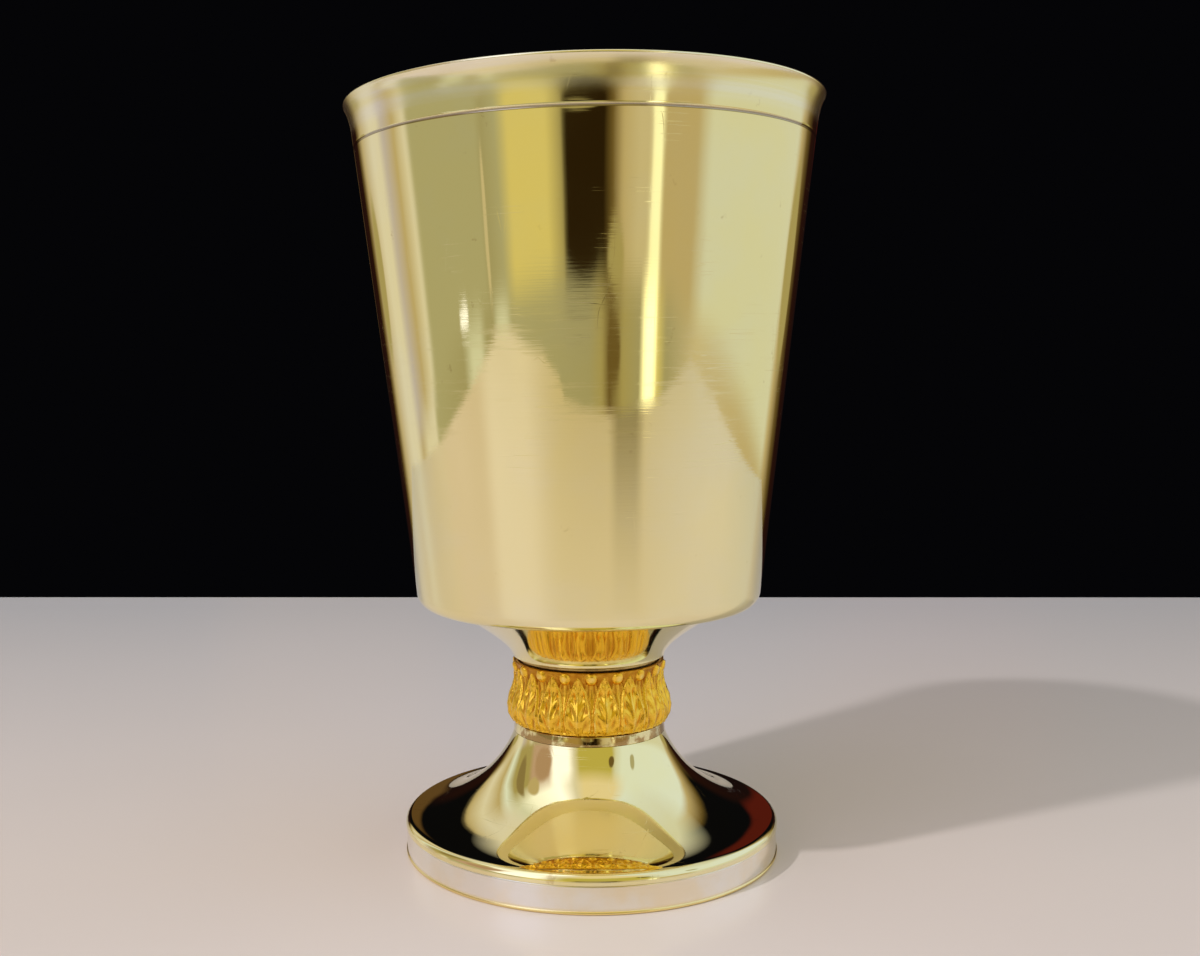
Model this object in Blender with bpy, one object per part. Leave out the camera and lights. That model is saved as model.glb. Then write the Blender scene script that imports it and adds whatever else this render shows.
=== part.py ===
"""A gilt altar cup on a turned stem: an open cup, a flared collar, a band of cast leaves and a trumpet foot.

The pieces are stacked on the Z axis and clamped by one threaded rod, from a boss under the cup to a nut
inside the foot. The origin is the centre of the foot's base, +Z is up and the front faces -Y.
"""

import math

import bmesh
import bpy

MM = 0.001

# Driving sizes, in millimetres. A pair is (radius, height above the base).
HEIGHT = 159.6
GAP = 0.3  # between pieces that touch
WALL = 1.0  # spun sheet

LIP_RADIUS = 50.35
LIP_ROUND = 0.35
GROOVE = (48.3, 150.6)
GROOVE_HALF_WIDTH = 0.35
GROOVE_DEPTH = 0.3
CUP_FOOT_RADIUS = 37.1
CUP_CORNER_RADIUS = 3.2
CUP_UNDERSIDE = 53.7
CUP_FLOOR_THICKNESS = 1.1

COLLAR_TOP = (30.0, CUP_UNDERSIDE - GAP)
COLLAR_BOTTOM = (16.6, 42.35)

KNOP_TOP = 41.35
KNOP_BOTTOM = 28.0
KNOP_WAIST = (15.7, 37.3)
KNOP_BULGE = (17.15, 31.2)
KNOP_BORE_RADIUS = 14.9
LEAF_COUNT = 18
LEAF_RELIEF = 0.9
FIRST_LEAF_ANGLE = math.radians(-98.0)

RING_RADIUS = 16.5
RING_BOTTOM = 26.1
RING_TOP = 27.7

FOOT_TOP = (16.45, RING_BOTTOM - GAP)
FOOT_MID = (23.05, 15.9)  # on the trumpet, where its slope is about 41 degrees
FOOT_EDGE_RADIUS = 40.54
FOOT_EDGE_CENTRE_HEIGHT = 6.3
FOOT_EDGE_ROUND = 1.6
BAND_TOP = 5.45
BAND_RADIUS = 40.3
BAND_INNER_RADIUS = 39.3
BASE_WIRE_HEIGHT = 0.8
BASE_LIP_INNER_RADIUS = 37.9
BASE_LIP_HEIGHT = 1.2

ROD_RADIUS = 2.5
ROD_HOLE_RADIUS = 2.9
ROD_BOTTOM = 15.6
ROD_TOP = 51.9
SOCKET_RADIUS = 6.0
SOCKET_BOTTOM = 46.0
NUT_ACROSS_FLATS = 8.0
NUT_HEIGHT = 4.0
PLAIN_WASHER = (9.0, 0.9)  # radius, thickness
LOCK_WASHER = (4.6, 1.1)
LOCK_WASHER_SLIT = math.radians(14.0)

ROUND_STEPS = 48  # sides of the large turned pieces
SMALL_STEPS = 24  # sides of the rod, the nut's bore and the washers

FINISHES = {  # base colour, roughness
    "pale_gilt": ((0.86, 0.74, 0.42), 0.12),
    "worn_gilt": ((0.80, 0.76, 0.66), 0.2),
    "leaf_gilt": ((0.87, 0.55, 0.12), 0.26),
    "dull_brass": ((0.55, 0.42, 0.2), 0.4),
    "plain_steel": ((0.52, 0.52, 0.53), 0.32),
}


def clear_scene():
    for obj in list(bpy.data.objects):
        bpy.data.objects.remove(obj, do_unlink=True)


def finish_material(name):
    """One Principled BSDF metal for each finish, shared by the pieces that have it."""
    found = bpy.data.materials.get(name)
    if found:
        return found
    colour, roughness = FINISHES[name]
    material = bpy.data.materials.new(name)
    material.use_nodes = True
    shader = material.node_tree.nodes["Principled BSDF"]
    shader.inputs["Base Color"].default_value = (*colour, 1.0)
    shader.inputs["Metallic"].default_value = 1.0
    shader.inputs["Roughness"].default_value = roughness
    return material


def arc(centre, radius, start, end, steps):
    """Points (r, z) round centre, from start to end in degrees, both ends included."""
    angles = [math.radians(start + (end - start) * i / steps) for i in range(steps + 1)]
    return [(centre[0] + radius * math.cos(a), centre[1] + radius * math.sin(a)) for a in angles]


def bezier(p0, p1, p2, p3, steps):
    """Points (r, z) on a cubic curve, both ends included."""
    points = []
    for i in range(steps + 1):
        t = i / steps
        weights = ((1 - t) ** 3, 3 * t * (1 - t) ** 2, 3 * t * t * (1 - t), t ** 3)
        points.append(tuple(sum(w * p[k] for w, p in zip(weights, (p0, p1, p2, p3))) for k in (0, 1)))
    return points


def line(start, end, steps):
    """Points (r, z) on a straight line, both ends included."""
    return [(start[0] + (end[0] - start[0]) * i / steps, start[1] + (end[1] - start[1]) * i / steps)
            for i in range(steps + 1)]


def inset(points, distance):
    """The curve moved sideways by distance, to the left of its direction of travel."""
    moved = []
    for i, (r, z) in enumerate(points):
        before = points[max(i - 1, 0)]
        after = points[min(i + 1, len(points) - 1)]
        dr, dz = after[0] - before[0], after[1] - before[1]
        length = math.hypot(dr, dz)
        moved.append((r - distance * dz / length, z + distance * dr / length))
    return moved


def object_from(mesh_editor, name, finish, location=(0.0, 0.0, 0.0)):
    bmesh.ops.recalc_face_normals(mesh_editor, faces=mesh_editor.faces)
    mesh = bpy.data.meshes.new(name)
    mesh_editor.to_mesh(mesh)
    mesh_editor.free()
    mesh.materials.append(finish_material(finish))
    mesh.shade_smooth()
    mesh.set_sharp_from_angle(angle=math.radians(35.0))
    obj = bpy.data.objects.new(name, mesh)
    obj.location = location
    bpy.context.scene.collection.objects.link(obj)
    return obj


def spun(profile, steps, sweep=2 * math.pi):
    """A mesh of the profile (mm) turned round Z. It is a closed ring, or open where both ends lie on the axis."""
    editor = bmesh.new()
    points = [editor.verts.new((r * MM, 0.0, z * MM)) for r, z in profile]
    on_axis = profile[0][0] == 0.0 and profile[-1][0] == 0.0
    pairs = list(zip(points, points[1:])) + ([] if on_axis else [(points[-1], points[0])])
    edges = [editor.edges.new(pair) for pair in pairs]
    whole = sweep >= 2 * math.pi
    bmesh.ops.spin(editor, geom=points + edges, cent=(0, 0, 0), axis=(0, 0, 1), angle=sweep,
                   steps=steps, use_merge=whole, use_duplicate=False)
    if not whole:
        bmesh.ops.holes_fill(editor, edges=[e for e in editor.edges if e.is_boundary], sides=0)
    bmesh.ops.remove_doubles(editor, verts=editor.verts, dist=1e-7)
    return editor


def turned(name, profile, finish, steps=ROUND_STEPS):
    return object_from(spun(profile, steps), name, finish)


def groove_points(centre, half_width, depth):
    """Three points of a V groove in a nearly upright wall, top to bottom."""
    r, z = centre
    return [(r, z + half_width), (r - depth, z), (r - 0.03, z - half_width)]


def build_cup():
    """One sheet: a straight tapered wall, flared above the groove and rounded below into a flat floor."""
    lip = arc((LIP_RADIUS - LIP_ROUND, HEIGHT - LIP_ROUND), LIP_ROUND, 135, -45, 4)
    flare = bezier(lip[-1], (49.3, 157.5), (48.75, 154.6), (GROOVE[0] + 0.05, GROOVE[1] + 0.6), 5)[1:]
    groove = groove_points(GROOVE, GROOVE_HALF_WIDTH, GROOVE_DEPTH)
    rise = GROOVE[1] - CUP_UNDERSIDE - CUP_CORNER_RADIUS
    lean = math.degrees(math.atan2(GROOVE[0] - CUP_FOOT_RADIUS, rise))
    corner_centre = (CUP_FOOT_RADIUS - CUP_CORNER_RADIUS, CUP_UNDERSIDE + CUP_CORNER_RADIUS)
    corner = arc(corner_centre, CUP_CORNER_RADIUS, -lean, -90, 4)
    taper = line((GROOVE[0] - 0.3, GROOVE[1] - 2.6), corner[0], 3)[:-1]
    outside = lip + flare + groove + taper + corner + [(0.0, CUP_UNDERSIDE)]
    inner_wall = inset(flare + taper, -WALL)[::-1]
    floor = CUP_UNDERSIDE + CUP_FLOOR_THICKNESS
    inner_radius = CUP_CORNER_RADIUS - WALL
    inner_centre = (CUP_FOOT_RADIUS - WALL - inner_radius, floor + inner_radius)
    inner_corner = arc(inner_centre, inner_radius, -90, -lean, 3)
    turned("cup", [(0.0, floor)] + inner_corner + inner_wall + outside, "pale_gilt")


def build_cup_socket():
    top = CUP_UNDERSIDE - GAP
    hole_end = ROD_TOP + GAP
    profile = [(0.0, top), (SOCKET_RADIUS, top), (SOCKET_RADIUS, SOCKET_BOTTOM + 0.5),
               (SOCKET_RADIUS - 0.5, SOCKET_BOTTOM), (ROD_RADIUS + GAP, SOCKET_BOTTOM),
               (ROD_RADIUS + GAP, hole_end), (0.0, hole_end)]
    turned("cup_socket", profile, "dull_brass", SMALL_STEPS)


def build_collar():
    """A spun trumpet, open at the top, with a web at the bottom that the rod passes through."""
    foot_r, foot_z = COLLAR_BOTTOM
    outside = bezier(COLLAR_TOP, (24.4, 49.9), (17.9, 45.9), (foot_r, foot_z + 0.5), 7)
    top_r, top_z = COLLAR_TOP
    inside = inset(outside, -WALL)[-3:0:-1] + [(top_r - 2 * WALL, top_z)]
    web_top = foot_z + WALL
    profile = outside + [(foot_r - 0.3, foot_z), (ROD_HOLE_RADIUS, foot_z), (ROD_HOLE_RADIUS, web_top),
                         (foot_r - 1.6, web_top)] + inside
    turned("collar", profile, "pale_gilt")


def build_upper_washer():
    """The recessed ring that shows as a dark line between the collar and the leaves."""
    low, high = KNOP_TOP + 0.25, COLLAR_BOTTOM[1] - 0.25
    profile = [(15.4, high), (15.4, low), (ROD_HOLE_RADIUS, low), (ROD_HOLE_RADIUS, high)]
    turned("upper_washer", profile, "dull_brass")


def leaf_height(across, up):
    """Relief from 0 to 1 of one upright pointed leaf. across is -1 to 1 over its pitch, up is 0 to 1."""
    half_width = 0.97 * math.sin(math.pi * min(0.28 + 0.72 * up, 1.0)) ** 0.6
    if up > 0.97 or half_width <= 0.02:
        return 0.0
    inside = 1.0 - abs(across) / half_width
    return 0.0 if inside <= 0 else min(1.0, inside * 2.2) * (0.75 + 0.25 * (1.0 - abs(across)))


def build_knop_band():
    """A cast ring: a waisted, bulging band covered by one row of pointed leaves."""
    waist_r, waist_z = KNOP_WAIST
    bulge_r, bulge_z = KNOP_BULGE
    outside = bezier((16.3, KNOP_TOP), (15.8, 40.2), (waist_r, 39.2), (waist_r, waist_z), 3)
    outside += bezier((waist_r, waist_z), (waist_r, 35.2), (bulge_r, 33.8), (bulge_r, bulge_z), 3)[1:]
    outside += bezier((bulge_r, bulge_z), (bulge_r, 29.7), (16.3, 28.7), (16.05, KNOP_BOTTOM), 3)[1:]
    profile = outside + [(KNOP_BORE_RADIUS, KNOP_BOTTOM), (KNOP_BORE_RADIUS, KNOP_TOP)]
    editor = spun(profile, LEAF_COUNT * 5)
    pitch = 2 * math.pi / LEAF_COUNT
    for vertex in editor.verts:
        x, y, z = vertex.co
        radius = math.hypot(x, y)
        up = (z / MM - KNOP_BOTTOM) / (KNOP_TOP - KNOP_BOTTOM)
        if radius < (KNOP_BORE_RADIUS + 0.1) * MM or not 0.02 < up < 0.98:
            continue
        turn = (math.atan2(y, x) - FIRST_LEAF_ANGLE) / pitch
        across = 2.0 * (turn - round(turn))
        scale = 1.0 + LEAF_RELIEF * MM * leaf_height(across, up) / radius
        vertex.co = (x * scale, y * scale, z)
    object_from(editor, "knop_band", "leaf_gilt")


def build_knop_drum():
    """The spacer inside the leaf band. It carries the clamping load past the thin cast ring."""
    radius = KNOP_BORE_RADIUS - GAP
    low, high = RING_TOP + GAP, KNOP_TOP
    profile = [(radius - 0.4, high), (radius, high - 0.4), (radius, low + 0.4), (radius - 0.4, low),
               (ROD_HOLE_RADIUS, low), (ROD_HOLE_RADIUS, high)]
    turned("knop_drum", profile, "dull_brass")


def build_lower_ring():
    middle = (RING_TOP + RING_BOTTOM) / 2
    half = (RING_TOP - RING_BOTTOM) / 2
    side = arc((RING_RADIUS - 0.55, middle), 1.0, 75, -75, 4)
    outside = [(r - 0.45, middle + (z - middle) * half / math.sin(math.radians(75))) for r, z in side]
    profile = [(15.2, RING_TOP)] + outside + [(15.2, RING_BOTTOM), (ROD_HOLE_RADIUS, RING_BOTTOM),
                                              (ROD_HOLE_RADIUS, RING_TOP)]
    turned("lower_ring", profile, "pale_gilt")


def foot_trumpet():
    """The foot's outer surface from its top edge down to the end of the rounded rim."""
    round_centre = (FOOT_EDGE_RADIUS - FOOT_EDGE_ROUND, FOOT_EDGE_CENTRE_HEIGHT)
    rim = arc(round_centre, FOOT_EDGE_ROUND, 78, 0, 4)
    upper = bezier(FOOT_TOP, (17.4, 22.6), (20.3, 18.4), FOOT_MID, 4)
    lower = bezier(FOOT_MID, (26.6, 12.6), (34.0, 8.85), rim[0], 5)
    return upper + lower[1:], rim


def build_foot_shell():
    """A spun trumpet with a web at its top and, under its rim, a flange that the band is fitted round."""
    trumpet, rim = foot_trumpet()
    step = BAND_TOP + GAP
    flange_r = BAND_INNER_RADIUS - GAP
    flange_bottom = 2.4
    inside = inset(trumpet[1:-1], -WALL)[::-1]
    web_bottom = FOOT_TOP[1] - WALL
    profile = trumpet + rim[1:] + [
        (FOOT_EDGE_RADIUS, step), (flange_r, step), (flange_r, flange_bottom),
        (flange_r - WALL, flange_bottom), (flange_r - WALL, 6.55)]
    profile += inside + [(15.9, web_bottom), (ROD_HOLE_RADIUS, web_bottom), (ROD_HOLE_RADIUS, FOOT_TOP[1])]
    turned("foot_shell", profile, "pale_gilt")


def build_foot_band():
    """The upright band round the foot, with a fine wire at its bottom edge and a turned-in base to stand on."""
    wire = arc((BAND_RADIUS - 0.16, BASE_WIRE_HEIGHT / 2), BASE_WIRE_HEIGHT / 2, 70, -55, 3)
    profile = [(BAND_RADIUS - 0.1, BAND_TOP), (BAND_RADIUS, BAND_TOP - 0.1), (BAND_RADIUS, BASE_WIRE_HEIGHT)]
    profile += wire + [(BAND_RADIUS - 0.1, 0.0), (BASE_LIP_INNER_RADIUS, 0.0),
                       (BASE_LIP_INNER_RADIUS, BASE_LIP_HEIGHT), (BAND_INNER_RADIUS, BASE_LIP_HEIGHT),
                       (BAND_INNER_RADIUS, BAND_TOP)]
    turned("foot_band", profile, "worn_gilt")


def build_tie_rod():
    chamfer = 0.4
    profile = [(0.0, ROD_TOP), (ROD_RADIUS - chamfer, ROD_TOP), (ROD_RADIUS, ROD_TOP - chamfer),
               (ROD_RADIUS, ROD_BOTTOM + chamfer), (ROD_RADIUS - chamfer, ROD_BOTTOM), (0.0, ROD_BOTTOM)]
    turned("tie_rod", profile, "plain_steel", SMALL_STEPS)


def build_washers():
    """A plain washer against the foot's web, and a split spring washer under it. Returns the stack's bottom."""
    plain_r, plain_t = PLAIN_WASHER
    high = FOOT_TOP[1] - WALL - GAP
    low = high - plain_t
    plain = [(plain_r, high), (plain_r, low), (ROD_HOLE_RADIUS, low), (ROD_HOLE_RADIUS, high)]
    turned("foot_washer", plain, "plain_steel", SMALL_STEPS)
    lock_r, lock_t = LOCK_WASHER
    high = low - GAP
    low = high - lock_t
    split = [(lock_r, high), (lock_r, low), (ROD_HOLE_RADIUS, low), (ROD_HOLE_RADIUS, high)]
    object_from(spun(split, SMALL_STEPS, 2 * math.pi - LOCK_WASHER_SLIT), "lock_washer", "plain_steel")
    return low


def build_hex_nut(stack_bottom):
    middle = stack_bottom - GAP - NUT_HEIGHT / 2
    nut = bmesh.new()
    corner = NUT_ACROSS_FLATS / math.sqrt(3) * MM
    bmesh.ops.create_cone(nut, cap_ends=True, segments=6, radius1=corner, radius2=corner, depth=NUT_HEIGHT * MM)
    nut = object_from(nut, "hex_nut", "plain_steel", (0.0, 0.0, middle * MM))
    bore = bmesh.new()
    bore_radius = (ROD_RADIUS + GAP) * MM
    bmesh.ops.create_cone(bore, cap_ends=True, segments=SMALL_STEPS, radius1=bore_radius, radius2=bore_radius,
                          depth=2 * NUT_HEIGHT * MM)
    bore = object_from(bore, "nut_bore_cutter", "plain_steel", nut.location)
    bore.hide_render = True
    bore.display_type = "WIRE"
    cut = nut.modifiers.new("bore", "BOOLEAN")
    cut.operation = "DIFFERENCE"
    cut.solver = "EXACT"
    cut.object = bore


def main():
    clear_scene()
    build_cup()
    build_cup_socket()
    build_collar()
    build_upper_washer()
    build_knop_band()
    build_knop_drum()
    build_lower_ring()
    build_foot_shell()
    build_foot_band()
    build_tie_rod()
    build_hex_nut(build_washers())


main()
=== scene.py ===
import math
import random

import bmesh
import bpy
from mathutils import Matrix, Vector, noise


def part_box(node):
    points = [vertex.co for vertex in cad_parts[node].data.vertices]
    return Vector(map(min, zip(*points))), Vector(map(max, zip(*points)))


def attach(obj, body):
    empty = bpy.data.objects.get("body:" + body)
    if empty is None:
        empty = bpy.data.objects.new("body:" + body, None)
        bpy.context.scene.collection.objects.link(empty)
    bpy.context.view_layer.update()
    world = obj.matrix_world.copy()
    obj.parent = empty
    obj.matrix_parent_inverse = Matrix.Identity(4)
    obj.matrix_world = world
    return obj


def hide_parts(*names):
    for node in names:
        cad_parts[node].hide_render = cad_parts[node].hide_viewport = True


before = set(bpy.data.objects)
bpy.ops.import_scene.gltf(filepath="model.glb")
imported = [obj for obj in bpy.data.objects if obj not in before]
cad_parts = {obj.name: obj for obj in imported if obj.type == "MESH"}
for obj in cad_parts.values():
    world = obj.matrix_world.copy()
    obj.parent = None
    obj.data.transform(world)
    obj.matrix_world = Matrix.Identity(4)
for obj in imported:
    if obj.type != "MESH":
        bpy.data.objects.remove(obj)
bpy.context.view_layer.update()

MM = 0.001

# ---------------------------------------------------------------- driving sizes, in millimetres
# A pair is (radius, height above the base). Overall sizes come from the frame, through span().
GAP = 0.3  # between neighbouring pieces
WALL = 1.0  # spun sheet
LIP_ROUND = 0.35
GROOVE = (48.3, 150.6)  # the line cut round the cup below its lip
GROOVE_HALF_WIDTH = 0.33
GROOVE_DEPTH = 0.26
FLARE_PULLS = ((49.3, 157.5), (48.75, 154.6))  # control points of the curve from the lip to the groove
CUP_FOOT_RADIUS = 37.1
CUP_CORNER_RADIUS = 3.2
CUP_FLOOR_THICKNESS = 1.1
COLLAR_FOOT_RADIUS = 16.6
COLLAR_FOOT_ROUND = 0.35
KNOP_TOP_RADIUS = 16.3
KNOP_WAIST = (15.7, 37.3)
KNOP_BULGE = (17.15, 31.2)
KNOP_FOOT_RADIUS = 16.05
KNOP_BORE_RADIUS = 14.9
KNOP_BORE_MOUTH_RADIUS = 15.3
LEAF_COUNT = 18
LEAF_RELIEF = 1.0
LEAF_STEPS = 34  # columns of vertices across one leaf
FIRST_LEAF_ANGLE = math.radians(-98.0)
RING_SEAT = 0.27  # how far the ring reaches down towards the foot, past its CAD node
RING_HEAD = 0.2  # how far it reaches up into the shadow of the leaves
RING_HEAD_INNER_RADIUS = 15.2
FOOT_TOP_RADIUS = 16.45
FOOT_MID = (23.05, 15.9)
FOOT_UPPER_PULLS = ((17.4, 22.6), (20.3, 18.4))
FOOT_LOWER_PULLS = ((26.6, 12.6), (33.4, 8.4))
FOOT_WEB_RADIUS = 15.6  # inside corner under the web at the top of the foot
FOOT_FLANGE_TOP = 6.55
FOOT_EDGE_CENTRE_HEIGHT = 6.3
FOOT_EDGE_ROUND = 1.6
BAND_RADIUS = 40.3
BAND_INNER_RADIUS = 39.3
BAND_SEAT = 0.25  # how far the band reaches up into its gap
BASE_WIRE_HEIGHT = 0.8
BASE_LIP_INNER_RADIUS = 37.9
BASE_LIP_HEIGHT = 1.2
ROD_HOLE_RADIUS = 2.9
ROD_RADIUS = 2.5
THREAD_PITCH = 0.8
THREAD_DEPTH = 0.42
NUT_HALF_FLATS = 4.0
NUT_CHAMFER = 0.3
LOCK_WASHER_SPRING = 0.2  # how far the split ends stand apart
LOCK_WASHER_SPLIT = math.radians(14.0)

FINE_STEPS = 288  # sides of the large turned pieces
SMALL_STEPS = 96
TURN = 2 * math.pi


def span(node):
    """(largest radius, bottom, top) of a turned CAD node, in millimetres."""
    low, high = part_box(node)
    return high.x / MM, low.z / MM, high.z / MM


# ---------------------------------------------------------------- profiles and turned meshes


def arc(centre, radius, start, end, steps):
    """Points (r, z) round centre, from start to end in degrees, both ends included."""
    angles = [math.radians(start + (end - start) * i / steps) for i in range(steps + 1)]
    return [(centre[0] + radius * math.cos(a), centre[1] + radius * math.sin(a)) for a in angles]


def bezier(p0, p1, p2, p3, steps):
    """Points (r, z) on a cubic curve, both ends included."""
    points = []
    for i in range(steps + 1):
        t = i / steps
        weights = ((1 - t) ** 3, 3 * t * (1 - t) ** 2, 3 * t * t * (1 - t), t ** 3)
        points.append(tuple(sum(w * p[k] for w, p in zip(weights, (p0, p1, p2, p3))) for k in (0, 1)))
    return points


def line(start, end, steps):
    """Points (r, z) on a straight line, both ends included."""
    return [(start[0] + (end[0] - start[0]) * i / steps, start[1] + (end[1] - start[1]) * i / steps)
            for i in range(steps + 1)]


def inset(points, distance):
    """The curve moved sideways by distance, to the left of its direction of travel."""
    moved = []
    for i, (r, z) in enumerate(points):
        before = points[max(i - 1, 0)]
        after = points[min(i + 1, len(points) - 1)]
        dr, dz = after[0] - before[0], after[1] - before[1]
        length = math.hypot(dr, dz)
        moved.append((r - distance * dz / length, z + distance * dr / length))
    return moved


def rounded(points, radius, steps=4):
    """The closed outline of points with every corner off the axis rounded to radius."""
    outline = []
    count = len(points)
    for i, (r, z) in enumerate(points):
        if r < 1e-6:
            outline.append((r, z))
            continue
        corner = Vector((r, z))
        before = Vector(points[i - 1]) - corner
        after = Vector(points[(i + 1) % count]) - corner
        reach = min(radius, before.length * 0.45, after.length * 0.45)
        start = corner + before.normalized() * reach
        end = corner + after.normalized() * reach
        for k in range(steps + 1):
            t = k / steps
            point = start * (1 - t) ** 2 + corner * 2 * t * (1 - t) + end * t * t
            outline.append((point.x, point.y))
    return outline


def without_repeats(profile):
    """The profile without points that fall on the one before."""
    kept = [profile[0]]
    for point in profile[1:]:
        if math.dist(point, kept[-1]) > 1e-4:
            kept.append(point)
    return kept


def mesh_object(name, vertices, faces, sharp_angle=38.0):
    """A smooth-shaded object that faces outwards. Edges sharper than sharp_angle (degrees) stay sharp."""
    mesh = bpy.data.meshes.new(name)
    mesh.from_pydata(vertices, [], faces)
    editor = bmesh.new()
    editor.from_mesh(mesh)
    bmesh.ops.remove_doubles(editor, verts=editor.verts, dist=1e-7)
    bmesh.ops.recalc_face_normals(editor, faces=editor.faces)
    editor.to_mesh(mesh)
    editor.free()
    mesh.shade_smooth()
    mesh.set_sharp_from_angle(angle=math.radians(sharp_angle))
    obj = bpy.data.objects.new(name, mesh)
    bpy.context.scene.collection.objects.link(obj)
    return obj


def turned(name, profile, steps=FINE_STEPS, sweep=TURN, rise=0.0):
    """The closed profile (mm) turned round Z. A sweep under a full turn is capped, and rises by rise."""
    profile = without_repeats(profile)
    whole = sweep >= TURN
    columns = steps if whole else steps + 1
    vertices = []
    for i in range(columns):
        angle = sweep * i / steps
        lift = rise * i / steps
        vertices += [
            (r * MM * math.cos(angle), r * MM * math.sin(angle), (z + lift) * MM) for r, z in profile]
    rows = len(profile)
    faces = []
    for i in range(steps):
        this, after = i * rows, ((i + 1) % columns) * rows
        for j in range(rows):
            k = (j + 1) % rows
            if profile[j][0] < 1e-6 and profile[k][0] < 1e-6:
                continue
            faces.append((this + j, this + k, after + k, after + j))
    if not whole:
        faces.append(tuple(range(rows)))
        faces.append(tuple(range((columns - 1) * rows, columns * rows)))
    return mesh_object(name, vertices, faces)


# ---------------------------------------------------------------- shader helpers


def make(tree, kind, inputs=None, **attributes):
    """A new shader node. Each input is given a value, or the socket that feeds it."""
    made = tree.nodes.new("ShaderNode" + kind)
    for name, value in attributes.items():
        setattr(made, name, value)
    for key, value in (inputs or {}).items():
        if isinstance(value, bpy.types.NodeSocket):
            tree.links.new(value, made.inputs[key])
        else:
            made.inputs[key].default_value = value
    return made


def calc(tree, operation, *values, clamp=False):
    """The output of a Math node."""
    return make(tree, "Math", dict(enumerate(values)), operation=operation, use_clamp=clamp).outputs[0]


def ramp_between(tree, value, low, high, to_low=0.0, to_high=1.0):
    """value mapped smoothly from low..high to to_low..to_high."""
    inputs = {"Value": value, "From Min": low, "From Max": high, "To Min": to_low, "To Max": to_high}
    return make(tree, "MapRange", inputs, interpolation_type="SMOOTHSTEP").outputs["Result"]


def mix_colour(tree, factor, first, second):
    """first where factor is 0, second where it is 1. Inputs 6 and 7 are the Mix node's colours."""
    inputs = {0: factor, 6: first, 7: second}
    return make(tree, "Mix", inputs, data_type="RGBA").outputs[2]


def noise_value(tree, vector, scale, detail=2.0, roughness=0.5):
    """Smooth noise from 0 to 1, about 0.5 on average."""
    inputs = {"Vector": vector, "Scale": scale, "Detail": detail, "Roughness": roughness}
    return make(tree, "TexNoise", inputs).outputs["Fac"]


def rgba(colour):
    """The colour with an alpha of 1."""
    return (*colour, 1.0)


def start_material(name):
    """(material, its tree, its Principled BSDF, the object coordinates socket)."""
    material = bpy.data.materials.new(name)
    material.use_nodes = True
    tree = material.node_tree
    place = make(tree, "TexCoord").outputs["Object"]
    return material, tree, tree.nodes["Principled BSDF"], place


def turned_coordinates(tree, place):
    """(radius, height, radius and height with a slow change round the axis) of the object coordinates."""
    split = make(tree, "SeparateXYZ", {0: place})
    x, y, z = split.outputs
    radius = calc(tree, "SQRT", calc(tree, "ADD", calc(tree, "MULTIPLY", x, x), calc(tree, "MULTIPLY", y, y)))
    around = calc(tree, "MULTIPLY", calc(tree, "SUBTRACT", x, y), 0.02)
    lines = make(tree, "CombineXYZ", {0: radius, 1: z, 2: around}).outputs[0]
    return radius, z, lines


def hairlines(tree, place, stretch, turn, width):
    """1 on a few long fine scratches, 0 elsewhere: the level lines of a noise that is stretched one way."""
    mapped = make(tree, "Mapping", {"Vector": place, "Rotation": turn, "Scale": stretch}).outputs[0]
    value = noise_value(tree, mapped, 1.0, 1.0)
    away = calc(tree, "ABSOLUTE", calc(tree, "SUBTRACT", value, 0.5))
    return ramp_between(tree, away, 0.0, width, 1.0, 0.0)


def bump(tree, height, distance, before=None):
    """A Bump node's normal. distance is the relief in metres, and before a normal to start from."""
    inputs = {"Height": height, "Distance": distance, "Strength": 1.0}
    if before is not None:
        inputs["Normal"] = before
    return make(tree, "Bump", inputs).outputs[0]


# ---------------------------------------------------------------- metals

PALE_GOLD = (0.93, 0.84, 0.47)
HAZED_GOLD = (0.90, 0.84, 0.56)
BARE_SILVER = (0.93, 0.90, 0.82)
# brown of tarnish stains, and of the painted dark reflections on the ring
TARNISH_AND_REFLECTION_BROWN = (0.42, 0.25, 0.09)
LEAF_GOLD = (0.98, 0.60, 0.06)
LEAF_SHADOW = (0.48, 0.17, 0.01)
# painted highlight colour for the leaves' raised tops
LEAF_PAINTED_HIGHLIGHT = (1.0, 0.80, 0.26)
BAND_SILVER = (0.90, 0.88, 0.84)
BAND_GILT = (0.90, 0.80, 0.62)
WIRE_GILT = (0.93, 0.76, 0.34)
BRASS = (0.60, 0.44, 0.18)
BRASS_DIRT = (0.22, 0.13, 0.05)
STEEL = (0.56, 0.56, 0.57)
STEEL_DIRT = (0.20, 0.17, 0.14)
GROOVE_DARK = (0.24, 0.19, 0.20)

# Where the cup is marked, in millimetres: each pair is where a mark is at its strongest and where it ends.
WORN_FROM = 151.5  # the lip is worn above this height
GROOVE_LINE = (0.10, 0.34)  # distance from the middle of the groove
DULL_BELOW = (54.0, 56.2)  # height of the dull underside
DULL_WITHIN = (34.0, 37.0)  # and its radius
SCUFF_HEIGHT = 103.0
SCUFF_REACH = (4.0, 22.0)  # distance above or below SCUFF_HEIGHT

# Dark patches on gilding: the noise level above which they show, and their strength. The few are tarnish
# stains; the ring's many are painted dark reflections of the leaves above it.
FEW_STAINS = (0.6655, 0.35)
RING_PAINTED_REFLECTIONS = (0.4305, 0.85)


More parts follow.
